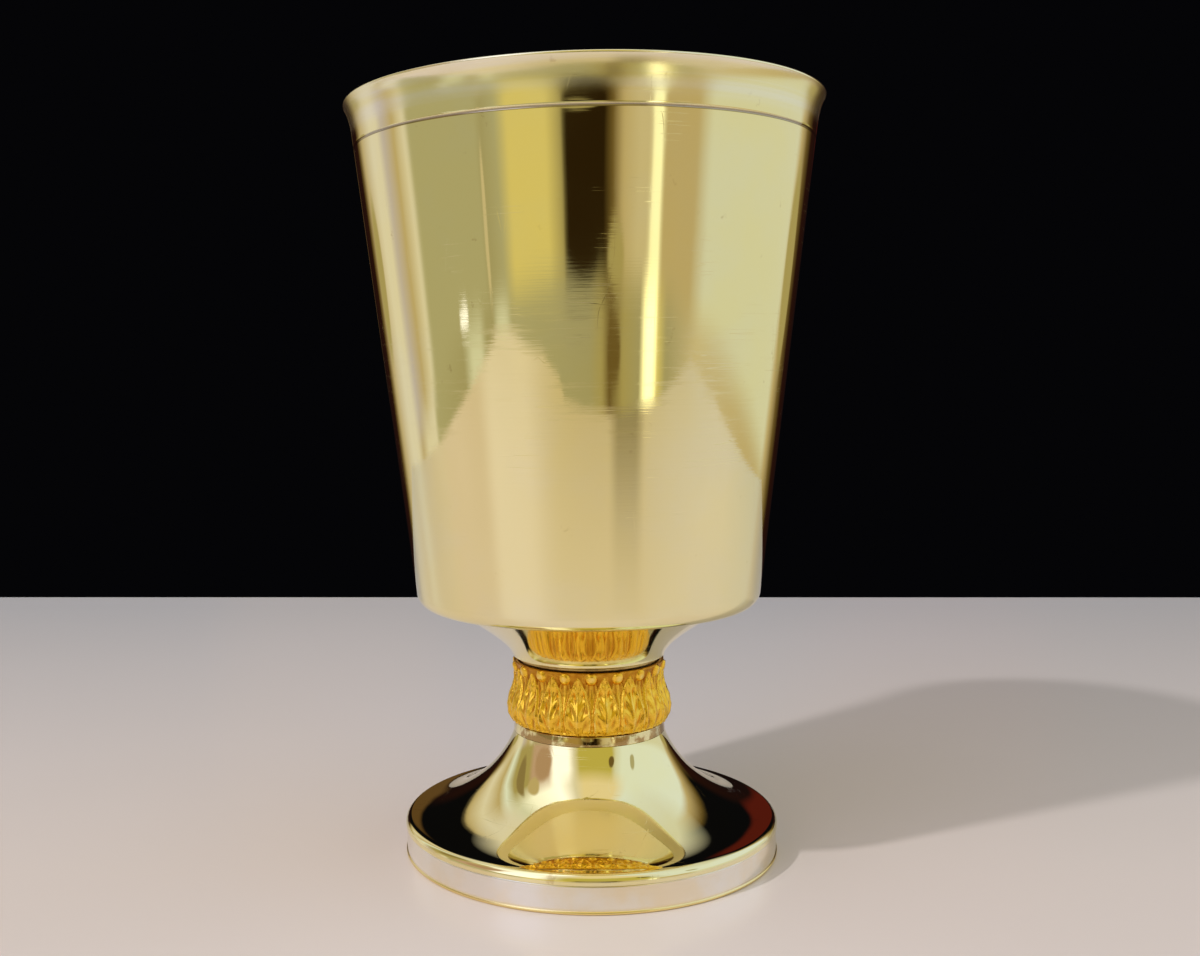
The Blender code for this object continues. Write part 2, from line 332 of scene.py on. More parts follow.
def gilt(name, roughness, mark_depth, stains_and_painted_reflections=FEW_STAINS, is_cup=False):
    """Polished gilding on a turned piece, hazy and darkened in patches: tarnish stains on most pieces,
    painted dark reflections on the ring. The cup has its own wear besides.
    """
    material, tree, shader, place = start_material(name)
    radius, height, lines = turned_coordinates(tree, place)
    haze = ramp_between(tree, noise_value(tree, place, 38.0, 4.0, 0.6), 0.42, 0.68)
    marks = noise_value(tree, lines, 2600.0, 3.0, 0.7)
    scratches = hairlines(tree, place, (14.0, 14.0, 620.0), (0.05, 0.03, 0.0), 0.005)
    steep = hairlines(tree, place, (160.0, 160.0, 22.0), (0.3, 0.5, 0.3), 0.0035)
    kept = ramp_between(tree, noise_value(tree, place, 75.0, 2.0), 0.54, 0.66)
    scratches = calc(tree, "MULTIPLY", calc(tree, "MAXIMUM", scratches, steep), kept)
    colour = mix_colour(tree, calc(tree, "MULTIPLY", haze, 0.6), rgba(PALE_GOLD), rgba(HAZED_GOLD))
    patch_level, patch_strength = stains_and_painted_reflections
    # dark patches: tarnish stains, but on the ring painted reflections of the leaves above it
    dark_patches = noise_value(tree, place, 210.0, 5.0, 0.65)
    dark_patches = ramp_between(tree, dark_patches, patch_level, patch_level + 0.08, 0.0, patch_strength)
    colour = mix_colour(tree, dark_patches, colour, rgba(TARNISH_AND_REFLECTION_BROWN))
    rough = calc(tree, "ADD", calc(tree, "MULTIPLY", haze, roughness * 0.7), roughness)
    rough = calc(tree, "ADD", rough, calc(tree, "MULTIPLY", scratches, 0.05))
    if is_cup:
        colour, rough = lip_wear(tree, height, lines, colour, rough)
        colour, rough = cup_marks(tree, place, radius, height, colour, rough)
    tree.links.new(colour, shader.inputs["Base Color"])
    tree.links.new(rough, shader.inputs["Roughness"])
    shader.inputs["Metallic"].default_value = 1.0
    waves = bump(tree, noise_value(tree, place, 42.0, 1.0), 0.06 * MM)
    fine = bump(tree, marks, mark_depth * MM, waves)
    cut = bump(tree, calc(tree, "SUBTRACT", 1.0, scratches), 0.004 * MM, fine)
    tree.links.new(cut, shader.inputs["Normal"])
    return material


def fading(tree, value, limits, strongest=1.0):
    """strongest below the first of limits (mm), falling to 0 at the second."""
    return ramp_between(tree, value, limits[0] * MM, limits[1] * MM, strongest, 0.0)


def lip_wear(tree, height, lines, colour, rough):
    """The lip: gilding rubbed to bare silver in streaks, and a little duller."""
    edge = ramp_between(tree, height, WORN_FROM * MM, (WORN_FROM + 3.0) * MM)
    streaks = ramp_between(tree, noise_value(tree, lines, 420.0, 4.0, 0.6), 0.35, 0.62)
    worn = calc(tree, "MULTIPLY", edge, streaks)
    colour = mix_colour(tree, calc(tree, "MULTIPLY", worn, 0.6), colour, rgba(BARE_SILVER))
    rough = calc(tree, "ADD", rough, calc(tree, "MULTIPLY", edge, 0.14))
    return colour, rough


def cup_marks(tree, place, radius, height, colour, rough):
    """The dark line in the cup's groove, its dull underside, and the handling scuffs round its middle."""
    from_groove = calc(tree, "ABSOLUTE", calc(tree, "SUBTRACT", height, GROOVE[1] * MM))
    colour = mix_colour(tree, fading(tree, from_groove, GROOVE_LINE, 0.75), colour, rgba(GROOVE_DARK))
    underside = calc(tree, "MULTIPLY", fading(tree, height, DULL_BELOW), fading(tree, radius, DULL_WITHIN))
    rough = calc(tree, "ADD", rough, calc(tree, "MULTIPLY", underside, 0.34))
    middle = calc(tree, "ABSOLUTE", calc(tree, "SUBTRACT", height, SCUFF_HEIGHT * MM))
    zone = fading(tree, middle, SCUFF_REACH)
    stretched = make(tree, "Mapping", {"Vector": place, "Scale": (60.0, 60.0, 900.0)}).outputs[0]
    scuffs = ramp_between(tree, noise_value(tree, stretched, 1.0, 5.0, 0.7), 0.50, 0.66)
    scuffs = calc(tree, "MULTIPLY", zone, scuffs)
    rough = calc(tree, "ADD", rough, calc(tree, "MULTIPLY", scuffs, 0.09))
    return colour, rough


def leaf_gilt():
    """Deep yellow gilding of the cast leaves, with tarnish and painted shade in the recesses and a painted
    highlight on the tops. The relief attribute is 0 in the dark recesses and 1 on top.
    """
    material, tree, shader, place = start_material("leaf_gilt_chased")
    relief = make(tree, "Attribute", attribute_name="relief").outputs["Fac"]
    mottled = noise_value(tree, place, 900.0, 3.0, 0.6)
    # tarnish and painted shade in the recesses
    deep = ramp_between(tree, relief, 0.03, 0.44, 1.0, 0.0)
    deep = calc(tree, "MULTIPLY", deep, ramp_between(tree, mottled, 0.2, 0.6, 0.6, 1.0))
    colour = mix_colour(tree, deep, rgba(LEAF_GOLD), rgba(LEAF_SHADOW))
    # a painted highlight on the raised tops
    painted_highlight = ramp_between(tree, relief, 0.70, 0.96, 0.0, 0.75)
    colour = mix_colour(tree, painted_highlight, colour, rgba(LEAF_PAINTED_HIGHLIGHT))
    tree.links.new(colour, shader.inputs["Base Color"])
    polish = ramp_between(tree, mottled, 0.3, 0.7, 0.14, 0.26)
    rough = calc(tree, "ADD", calc(tree, "MULTIPLY", deep, 0.18), polish)
    tree.links.new(rough, shader.inputs["Roughness"])
    shader.inputs["Metallic"].default_value = 1.0
    grain = bump(tree, noise_value(tree, place, 2200.0, 3.0, 0.6), 0.03 * MM)
    tree.links.new(grain, shader.inputs["Normal"])
    return material


def worn_band():
    """The foot's rim band: gilding worn down to a silvery, satin surface."""
    material, tree, shader, place = start_material("worn_gilt_band")
    _, height, lines = turned_coordinates(tree, place)
    patches = ramp_between(tree, noise_value(tree, place, 70.0, 5.0, 0.6), 0.40, 0.66)
    colour = mix_colour(tree, patches, rgba(BAND_SILVER), rgba(BAND_GILT))
    wire = fading(tree, height, (BASE_WIRE_HEIGHT / 2, BASE_WIRE_HEIGHT + 0.5))
    colour = mix_colour(tree, wire, colour, rgba(WIRE_GILT))
    tree.links.new(colour, shader.inputs["Base Color"])
    marks = noise_value(tree, lines, 900.0, 3.0, 0.6)
    rough = ramp_between(tree, marks, 0.3, 0.7, 0.17, 0.24)
    tree.links.new(rough, shader.inputs["Roughness"])
    shader.inputs["Metallic"].default_value = 1.0
    tree.links.new(bump(tree, marks, 0.004 * MM), shader.inputs["Normal"])
    return material


def plain_metal(name, base, dark, roughness):
    """Machined metal with turning marks and a little dirt."""
    material, tree, shader, place = start_material(name)
    _, _, lines = turned_coordinates(tree, place)
    dirt = ramp_between(tree, noise_value(tree, place, 160.0, 5.0, 0.65), 0.45, 0.72)
    tree.links.new(mix_colour(tree, dirt, rgba(base), rgba(dark)), shader.inputs["Base Color"])
    marks = noise_value(tree, lines, 3200.0, 3.0, 0.7)
    rough = calc(tree, "ADD", ramp_between(tree, marks, 0.3, 0.7, roughness, roughness + 0.12),
                 calc(tree, "MULTIPLY", dirt, 0.2))
    tree.links.new(rough, shader.inputs["Roughness"])
    shader.inputs["Metallic"].default_value = 1.0
    tree.links.new(bump(tree, marks, 0.02 * MM), shader.inputs["Normal"])
    return material


# ---------------------------------------------------------------- pieces


def build_cup():
    """One sheet: a straight tapered wall, flared above the groove and rounded below into a flat floor."""
    lip_radius, underside, height = span("cup")
    lip = arc((lip_radius - LIP_ROUND, height - LIP_ROUND), LIP_ROUND, 135, -45, 10)
    groove_r, groove_z = GROOVE
    groove_top = (groove_r + 0.08, groove_z + GROOVE_HALF_WIDTH)
    flare = bezier(lip[-1], *FLARE_PULLS, groove_top, 28)[1:]
    groove = bezier((groove_r + 0.04, groove_z + 0.8 * GROOVE_HALF_WIDTH),
                    (groove_r - GROOVE_DEPTH, groove_z + 0.1),
                    (groove_r - GROOVE_DEPTH, groove_z - 0.1),
                    (groove_r - 0.03, groove_z - GROOVE_HALF_WIDTH), 8)
    rise = groove_z - underside - CUP_CORNER_RADIUS
    lean = math.degrees(math.atan2(groove_r - CUP_FOOT_RADIUS, rise))
    corner_centre = (CUP_FOOT_RADIUS - CUP_CORNER_RADIUS, underside + CUP_CORNER_RADIUS)
    corner = arc(corner_centre, CUP_CORNER_RADIUS, -lean, -90, 14)
    taper = line((groove_r - 0.06, groove_z - 2 * GROOVE_HALF_WIDTH), corner[0], 60)[:-1]
    floor = underside + CUP_FLOOR_THICKNESS
    inner_radius = CUP_CORNER_RADIUS - WALL
    inner_centre = (CUP_FOOT_RADIUS - WALL - inner_radius, floor + inner_radius)
    inner_corner = arc(inner_centre, inner_radius, -90, -lean, 10)
    inner_wall = inset(flare + taper[::4], -WALL)[::-1]
    floor_line = line((0.0, floor), inner_corner[0], 12)
    under_line = line(corner[-1], (0.0, underside), 12)
    profile = floor_line + inner_corner + inner_wall + lip + flare + groove + taper + corner + under_line
    return turned("cup_spun", profile)


def build_collar():
    """A trumpet of sheet, wide at the top, closed below by a web with a hole for the rod."""
    top_r, low, top = span("collar")
    outside = bezier((top_r, top), (24.4, top - 3.5), (17.9, top - 7.5), (COLLAR_FOOT_RADIUS, low + 0.5), 40)
    inside = inset(outside, -WALL)[-8:4:-1] + [(top_r - 2.0 * WALL, top)]
    foot_centre = (COLLAR_FOOT_RADIUS - COLLAR_FOOT_ROUND, low + COLLAR_FOOT_ROUND)
    foot = arc(foot_centre, COLLAR_FOOT_ROUND, -5, -90, 5)
    profile = outside + foot + [(ROD_HOLE_RADIUS, low), (ROD_HOLE_RADIUS, low + WALL),
                                (COLLAR_FOOT_RADIUS - 2.2, low + WALL)] + inside
    return turned("collar_spun", profile)


def washer(name, node, edge_radius):
    """A flat ring round the rod, with its edges rounded."""
    radius, low, high = span(node)
    corners = [(radius, high), (radius, low), (ROD_HOLE_RADIUS, low), (ROD_HOLE_RADIUS, high)]
    return turned(name, rounded(corners, edge_radius), SMALL_STEPS)


def leaf_outline(up, tip):
    """Half the width of a leaf, from 0 to 1 of half its pitch, at a height up from 0 to 1."""
    if up >= tip:
        return 0.0
    return 0.98 * math.sin(math.pi * (0.30 + 0.70 * up / tip)) ** 0.75


def leaf_surface(across, up, tip, seed):
    """Height from 0 to 1 of one chased leaf, or None outside it: a rib, raised edges and slanting veins."""
    half_width = leaf_outline(up, tip)
    if half_width <= 0.015:
        return None
    side = abs(across) / half_width
    if side >= 1.0:
        return None
    edge = min(1.0, (1.0 - side) * half_width / 0.12)
    rib = math.exp(-(across / 0.15) ** 2) * min(1.0, 3.0 * (1.0 - up / tip))
    veins = 0.5 + 0.5 * math.cos(TURN * (up * 4.0 - abs(across) * 1.4 + seed))
    valley = math.exp(-((side - 0.52) / 0.26) ** 2)
    border = math.exp(-((side - 0.90) / 0.15) ** 2)
    body = 0.64 + 0.20 * rib + 0.30 * border - valley * (0.08 + 0.36 * veins)
    return max(0.12, body) * (edge ** 0.5)


def knop_relief(across, up, seed):
    """Height from 0 to 1 of the casting: front leaves, the tips of a row behind them, and beads between."""
    front = leaf_surface(across, up, 0.93, seed)
    offset = across - math.copysign(1.0, across)
    behind = leaf_surface(offset * 1.3, up, 1.0, seed + 0.4)
    bead_distance = math.hypot(offset * 2.2, (up - 0.90) * 10.0)
    bead = 0.95 * math.sqrt(max(0.0, 1.0 - bead_distance ** 2))
    ground = 0.02 + 0.13 * min(1.0, max(0.0, (up - 0.78) / 0.12))
    back = max(0.42 * behind if behind is not None else 0.0, bead, ground)
    height = back if front is None else max(front, back * 0.6)
    foot_rim = 0.7 * math.exp(-((up - 0.035) / 0.03) ** 2)
    return max(height, foot_rim)


def knop_outside(low, high):
    """The outline that the leaves stand on: in at the waist, out at the bulge and in again at the bottom."""
    waist_r, bulge_r = KNOP_WAIST[0], KNOP_BULGE[0]
    points = bezier((KNOP_TOP_RADIUS, high), (15.8, high - 1.15), (waist_r, 39.2), KNOP_WAIST, 24)
    points += bezier(KNOP_WAIST, (waist_r, 35.2), (bulge_r, 33.8), KNOP_BULGE, 34)[1:]
    points += bezier(KNOP_BULGE, (bulge_r, 29.7), (16.3, 28.7), (KNOP_FOOT_RADIUS, low), 20)[1:]
    return points


def knop_vertices(outside, inside, low, high):
    """The vertices of the leaf band, column by column round the axis, and the relief at each."""
    draws = random.Random(7)
    leaves = [(draws.uniform(-0.22, 0.22), draws.uniform(0.92, 1.0), draws.uniform(-0.04, 0.04))
              for _ in range(LEAF_COUNT)]
    columns = LEAF_COUNT * LEAF_STEPS
    vertices, reliefs = [], []
    for i in range(columns):
        angle = FIRST_LEAF_ANGLE + TURN * i / columns
        place = LEAF_COUNT * i / columns
        index = round(place)
        seed, boldness, lean = leaves[index % LEAF_COUNT]
        for r, z in outside:
            up = (z - low) / (high - low)
            across = 2.0 * (place - index) + lean * up
            across -= 2.0 * round(across / 2.0)
            relief = knop_relief(across, up, seed) * boldness
            wander = noise.noise(Vector((math.cos(angle) * 9.0, math.sin(angle) * 9.0, z * 0.9)))
            relief = min(1.0, max(0.0, relief * (1.0 + 0.10 * wander) + 0.03 * wander))
            fade = min(1.0, up / 0.02, (1.0 - up) / 0.02)
            out = (r + LEAF_RELIEF * relief * fade) * MM
            vertices.append((out * math.cos(angle), out * math.sin(angle), z * MM))
            reliefs.append(relief)
        for r, z in inside:
            vertices.append((r * MM * math.cos(angle), r * MM * math.sin(angle), z * MM))
            reliefs.append(0.3)
    return vertices, reliefs


def tube_faces(columns, rows):
    """Four-sided faces over columns of rows vertices each, closed both ways."""
    faces = []
    for i in range(columns):
        this, after = i * rows, ((i + 1) % columns) * rows
        faces += [(this + j, this + (j + 1) % rows, after + (j + 1) % rows, after + j) for j in range(rows)]
    return faces


def build_knop_band():
    """The cast ring of leaves. Each leaf is chased by hand, so its veins and its height differ a little."""
    _, low, high = span("knop_band")
    outside = knop_outside(low, high)
    inside = [(KNOP_BORE_MOUTH_RADIUS, low), (KNOP_BORE_RADIUS, low + 0.3),
              (KNOP_BORE_RADIUS, high - 0.3), (KNOP_BORE_MOUTH_RADIUS, high)]
    vertices, reliefs = knop_vertices(outside, inside, low, high)
    faces = tube_faces(LEAF_COUNT * LEAF_STEPS, len(outside) + len(inside))
    mesh = bpy.data.meshes.new("knop_leaves")
    mesh.from_pydata(vertices, [], faces)
    attribute = mesh.attributes.new("relief", "FLOAT", "POINT")
    attribute.data.foreach_set("value", reliefs)
    editor = bmesh.new()
    editor.from_mesh(mesh)
    bmesh.ops.recalc_face_normals(editor, faces=editor.faces)
    editor.to_mesh(mesh)
    editor.free()
    mesh.shade_smooth()
    obj = bpy.data.objects.new("knop_leaves", mesh)
    bpy.context.scene.collection.objects.link(obj)
    return obj


def build_lower_ring():
    """A plain moulded ring. Its face leans back a little. It sits close on the foot and under the leaves."""
    radius, low, high = span("lower_ring")
    seat, head = low - RING_SEAT, high + RING_HEAD
    face = bezier((radius - 0.24, head - 0.1), (radius - 0.18, high - 0.3),
                  (radius - 0.06, low + 0.5), (radius - 0.01, seat + 0.1), 14)
    top_edge = [(RING_HEAD_INNER_RADIUS, head), (radius - 0.34, head)]
    bottom = [(radius - 0.08, seat), (ROD_HOLE_RADIUS, seat), (ROD_HOLE_RADIUS, head)]
    return turned("lower_ring_turned", top_edge + face + bottom)


def build_foot_shell():
    """A trumpet that flares to a disc with a rounded rim, and a flange inside that the band fits round."""
    edge_r, low, top = span("foot_shell")
    rim = arc((edge_r - FOOT_EDGE_ROUND, FOOT_EDGE_CENTRE_HEIGHT), FOOT_EDGE_ROUND, 78, 0, 16)
    upper = bezier((FOOT_TOP_RADIUS, top), *FOOT_UPPER_PULLS, FOOT_MID, 30)
    lower = bezier(FOOT_MID, *FOOT_LOWER_PULLS, rim[0], 34)
    trumpet = upper + lower[1:]
    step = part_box("foot_band")[1].z / MM + GAP
    flange_r = BAND_INNER_RADIUS - GAP
    inside = inset(trumpet[4:-2], -WALL)[::-1]
    web_bottom = top - WALL
    profile = trumpet + rim[1:] + [
        (edge_r, step + 0.1), (edge_r - 0.12, step), (flange_r, step), (flange_r, low),
        (flange_r - WALL, low), (flange_r - WALL, FOOT_FLANGE_TOP)]
    profile += inside + [(FOOT_WEB_RADIUS, web_bottom), (ROD_HOLE_RADIUS, web_bottom), (ROD_HOLE_RADIUS, top)]
    return turned("foot_spun", profile)


def build_foot_band():
    """The upright band, with a half-round wire along its bottom edge and a lip turned in under the foot."""
    _, _, high = span("foot_band")
    wire_r = BASE_WIRE_HEIGHT / 2
    wire = arc((BAND_RADIUS - 0.16, wire_r), wire_r, 66, -60, 10)
    seat = high + BAND_SEAT
    profile = [(BAND_RADIUS - 0.3, seat), (BAND_RADIUS - 0.06, seat - 0.06), (BAND_RADIUS, seat - 0.2)]
    profile += line((BAND_RADIUS, seat - 0.4), (BAND_RADIUS, BASE_WIRE_HEIGHT + 0.1), 6)
    profile += wire + [(BAND_RADIUS - 0.1, 0.0), (BASE_LIP_INNER_RADIUS, 0.0),
                       (BASE_LIP_INNER_RADIUS, BASE_LIP_HEIGHT), (BAND_INNER_RADIUS, BASE_LIP_HEIGHT),
                       (BAND_INNER_RADIUS, seat)]
    return turned("foot_band_rolled", profile)


def build_tie_rod():
    """The rod with a real thread, chamfered at both ends."""
    _, low, high = span("tie_rod")
    steps, per_pitch = 32, 8
    rows = round((high - low) / THREAD_PITCH * per_pitch)
    vertices = []
    for i in range(rows + 1):
        z = low + (high - low) * i / rows
        from_end = min(z - low, high - z)
        for k in range(steps):
            turn = k / steps
            phase = (z / THREAD_PITCH - turn) % 1.0
            depth = THREAD_DEPTH * min(1.0, max(0.0, 1.25 - 2.5 * abs(phase - 0.5)))
            r = min(ROD_RADIUS - depth, ROD_RADIUS - 0.5 + from_end)
            vertices.append((r * MM * math.cos(TURN * turn), r * MM * math.sin(TURN * turn), z * MM))
    faces = []
    for i in range(rows):
        for k in range(steps):
            this, beside = i * steps + k, i * steps + (k + 1) % steps
            faces.append((this, beside, beside + steps, this + steps))
    faces.append(tuple(range(steps)))
    faces.append(tuple(range(rows * steps, (rows + 1) * steps)))
    return mesh_object("tie_rod_threaded", vertices, faces, 50.0)


def build_lock_washer():
    """A split spring washer: its ends are sprung apart a little."""
    radius, bottom, top = span("lock_washer")
    flat_top = top - LOCK_WASHER_SPRING
    corners = [(radius, flat_top), (radius, bottom), (ROD_HOLE_RADIUS, bottom), (ROD_HOLE_RADIUS, flat_top)]
    sweep = TURN - LOCK_WASHER_SPLIT
    return turned("lock_washer_split", rounded(corners, 0.12), SMALL_STEPS, sweep, LOCK_WASHER_SPRING)


def build_hex_nut():
    """A hexagon with chamfered corners and a threaded bore."""
    _, bottom, top = span("hex_nut")
    thread_bottom, thread_top = bottom + NUT_CHAMFER, top - NUT_CHAMFER
    per_pitch = 6
    turns = round((thread_top - thread_bottom) / THREAD_PITCH * per_pitch)
    bore = [(ROD_RADIUS + 0.55, bottom)]
    for i in range(turns + 1):
        z = thread_bottom + (thread_top - thread_bottom) * i / turns
        bore.append((ROD_RADIUS + 0.08 + 0.28 * abs(2 * ((i / per_pitch) % 1.0) - 1), z))
    bore.append((ROD_RADIUS + 0.55, top))
    inner, outer = NUT_HALF_FLATS * 0.93, NUT_HALF_FLATS * 0.97
    vertices = []
    for k in range(SMALL_STEPS):
        angle = TURN * k / SMALL_STEPS
        face = (angle + TURN / 12) % (TURN / 6) - TURN / 12
        hex_r = NUT_HALF_FLATS / math.cos(face)
        drop = max(0.0, hex_r - NUT_HALF_FLATS) * 0.58 + 0.02
        rim = [(inner, top), (outer, top), (hex_r, top - drop),
               (hex_r, bottom + drop), (outer, bottom), (inner, bottom)]
        vertices += [(r * MM * math.cos(angle), r * MM * math.sin(angle), z * MM) for r, z in bore + rim]
    faces = tube_faces(SMALL_STEPS, len(vertices) // SMALL_STEPS)
    return mesh_object("hex_nut_chamfered", vertices, faces, 24.0)


def dress(obj, material, node):
    """Gives the piece its material and lets it stand in for the CAD node."""
    obj.data.materials.append(material)
    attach(obj, "root")
    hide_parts(node)


def build_pieces():
    """Every visible piece. The socket and the drum, which nothing shows, keep their CAD shapes."""
    cup_gold = gilt("polished_gilt_cup", 0.035, 0.0022, is_cup=True)
    stem_gold = gilt("polished_gilt_stem", 0.05, 0.002)
    foot_gold = gilt("polished_gilt_foot", 0.025, 0.0015)
    # the ring's dark patches are painted reflections of the leaves above it
    ring_gold = gilt("gilt_ring_painted_reflections", 0.05, 0.002, stains_and_painted_reflections=RING_PAINTED_REFLECTIONS)
    brass = plain_metal("dull_brass_turned", BRASS, BRASS_DIRT, 0.32)
    steel = plain_metal("plain_steel_turned", STEEL, STEEL_DIRT, 0.28)
    dress(build_cup(), cup_gold, "cup")
    dress(build_collar(), stem_gold, "collar")
    dress(washer("upper_washer_turned", "upper_washer", 0.12), brass, "upper_washer")
    dress(build_knop_band(), leaf_gilt(), "knop_band")
    dress(build_lower_ring(), ring_gold, "lower_ring")
    dress(build_foot_shell(), foot_gold, "foot_shell")
    dress(build_foot_band(), worn_band(), "foot_band")
    dress(build_tie_rod(), steel, "tie_rod")
    dress(washer("foot_washer_stamped", "foot_washer", 0.25), steel, "foot_washer")
    dress(build_lock_washer(), steel, "lock_washer")
    dress(build_hex_nut(), steel, "hex_nut")
    for node in ("cup_socket", "knop_drum"):
        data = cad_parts[node].data
        data.materials.clear()
        data.materials.append(brass)


# ---------------------------------------------------------------- studio

# What the metal mirrors, by azimuth in degrees: 0 is in front (-Y), 90 is the right (+X), 180 is behind.
NIGHT = (0.003, 0.003, 0.004)
MAROON = (0.020, 0.006, 0.004)
UMBER = (0.022, 0.012, 0.003)
BROWN = (0.15, 0.10, 0.03)
SEPIA = (0.26, 0.20, 0.09)
RUST = (0.44, 0.29, 0.21)
AUBURN = (0.11, 0.06, 0.02)
GARNET = (0.085, 0.010, 0.006)
OLIVE = (0.40, 0.34, 0.15)
MUSTARD = (0.52, 0.45, 0.11)
DRAB = (0.38, 0.35, 0.21)
TAN = (0.52, 0.42, 0.24)
ROSE = (0.52, 0.36, 0.30)
SAND = (0.60, 0.52, 0.36)
AMBER = (0.70, 0.60, 0.24)
KHAKI = (0.43, 0.41, 0.27)
MAUVE = (0.54, 0.49, 0.56)
CREAM = (0.74, 0.70, 0.64)
PALE = (0.68, 0.70, 0.62)
MIST = (0.76, 0.85, 0.92)
WHITE = (1.05, 1.08, 1.12)
WINDOW = (1.3, 1.32, 1.6)
BUTTER = (0.82, 0.70, 0.46)
GLARE = (1.15, 1.15, 0.85)
STRIP = (1.8, 1.75, 1.25)

# Just above the far edge of the table, then a little higher, then from shoulder height up, then overhead.
KNEE_WALLS = (
    (-180, NIGHT), (-151, MAROON), (-147, BROWN), (-141, TAN), (-126, CREAM), (-118, CREAM), (-112, TAN),
    (-106, CREAM), (-97, CREAM), (-94, KHAKI), (-70, DRAB), (-64, PALE), (-58, PALE), (-54, DRAB),
    (-49, DRAB), (-46, PALE), (-43, PALE), (-40, KHAKI), (2, DRAB), (9, OLIVE), (14, BROWN), (21, OLIVE),
    (30, DRAB), (33, STRIP), (37, STRIP), (39.5, AMBER), (44, DRAB), (62, SAND), (126, TAN),
    (143, BROWN), (147, MAROON), (180, NIGHT))
LOW_WALLS = (
    (-180, NIGHT), (-149, MAROON), (-145, BROWN), (-139, TAN), (-125, CREAM), (-118, CREAM), (-112, MAUVE),
    (-103, TAN), (-95, CREAM), (-91, KHAKI), (-52, KHAKI), (-48, DRAB), (-42, KHAKI), (-36, AMBER),
    (-17, AMBER), (-10, OLIVE), (-8, UMBER), (10, UMBER), (14, BROWN), (19, TAN), (27, SAND), (32, SAND),
    (34, GLARE), (38, GLARE), (40, TAN), (56, TAN), (64, PALE), (127, PALE), (132, TAN), (140, BROWN),
    (149, MAROON), (180, NIGHT))
HIGH_WALLS = (
    (-180, NIGHT), (-148, NIGHT), (-146, TAN), (-138, CREAM), (-128, TAN), (-121, MIST), (-112, OLIVE),
    (-94, OLIVE), (-88, ROSE), (-64, ROSE), (-56, WINDOW), (-34, WINDOW), (-24, CREAM), (-16, MUSTARD),
    (34, MUSTARD), (40, PALE), (50, MIST), (127, MIST), (132, TAN), (140, BROWN), (143, NIGHT), (180, NIGHT))
CEILING = (
    (-180, CREAM), (-124, CREAM), (-112, PALE), (-94, WHITE), (-50, WINDOW), (-26, CREAM),
    (-10, BUTTER), (40, BUTTER), (60, MIST), (140, PALE), (180, CREAM))

# The elevations, in degrees, over which one wall gives way to the next.
KNEE_TO_LOW = (-11.0, -8.0)
LOW_TO_HIGH = (6.0, 15.0)
CEILING_FROM_IN_FRONT = 44.0
CEILING_FROM_BEHIND = 40.0
CEILING_FRONT_TO_BACK = (0.05, 0.43)  # shares of a full turn away from the front
CEILING_BLEND = 12.0
WALL_DRIFT = 0.012  # how far the walls' edges wander, as a share of a full turn
SURROUND = (0.0015, 0.0015, 0.002)  # what the camera sees beyond the table

# Smaller things in the room: azimuth, elevation, half width and half height in degrees, and colour.
SPOTS = (
    (-67, -8.7, 3.5, 0.6, WINDOW), (-49, -6.0, 1.2, 4, SAND), (34, 36, 5, 7, BROWN), (66, 32, 4, 8, KHAKI),
    (0, -8.4, 9, 1.7, UMBER), (16, -8.6, 5, 1.8, OLIVE), (16, -12.6, 4, 1.8, BROWN), (-2, 1.5, 11, 3, OLIVE),
    (3, 12, 14, 8, OLIVE), (-137, 0, 6, 4, OLIVE), (135, 0, 7, 5, OLIVE), (-104, 34, 6, 17, SEPIA),
    (-87, 46, 10, 8, TAN), (-72, 31, 15, 17, RUST), (-169, 12, 6, 15, AUBURN), (166, 20, 7, 14, GARNET))


def wall_ramp(tree, turn, stops):
    """The colour at an azimuth, given as 0 to 1 from -180 to 180 degrees."""
    ramp = make(tree, "ValToRGB", {0: turn})
    elements = ramp.color_ramp.elements
    for azimuth, colour in stops[1:-1]:
        elements.new((azimuth + 180.0) / 360.0).color = rgba(colour)
    elements[0].position, elements[-1].position = 0.0, 1.0
    elements[0].color, elements[-1].color = rgba(stops[0][1]), rgba(stops[-1][1])
    return ramp.outputs["Color"]


def with_spot(tree, turn, elevation, colour, spot):
    """The colour with one soft-edged ellipse from SPOTS over it."""
    spot_azimuth, spot_elevation, half_width, half_height, spot_colour = spot
    across = calc(tree, "SUBTRACT", turn, (spot_azimuth + 180.0) / 360.0)
    across = calc(tree, "MULTIPLY", across, 360.0 / half_width)
    up = calc(tree, "DIVIDE", calc(tree, "SUBTRACT", elevation, spot_elevation), half_height)
    away = calc(tree, "ADD", calc(tree, "MULTIPLY", across, across), calc(tree, "MULTIPLY", up, up))
    return mix_colour(tree, ramp_between(tree, away, 0.4, 1.0, 1.0, 0.0), colour, rgba(spot_colour))


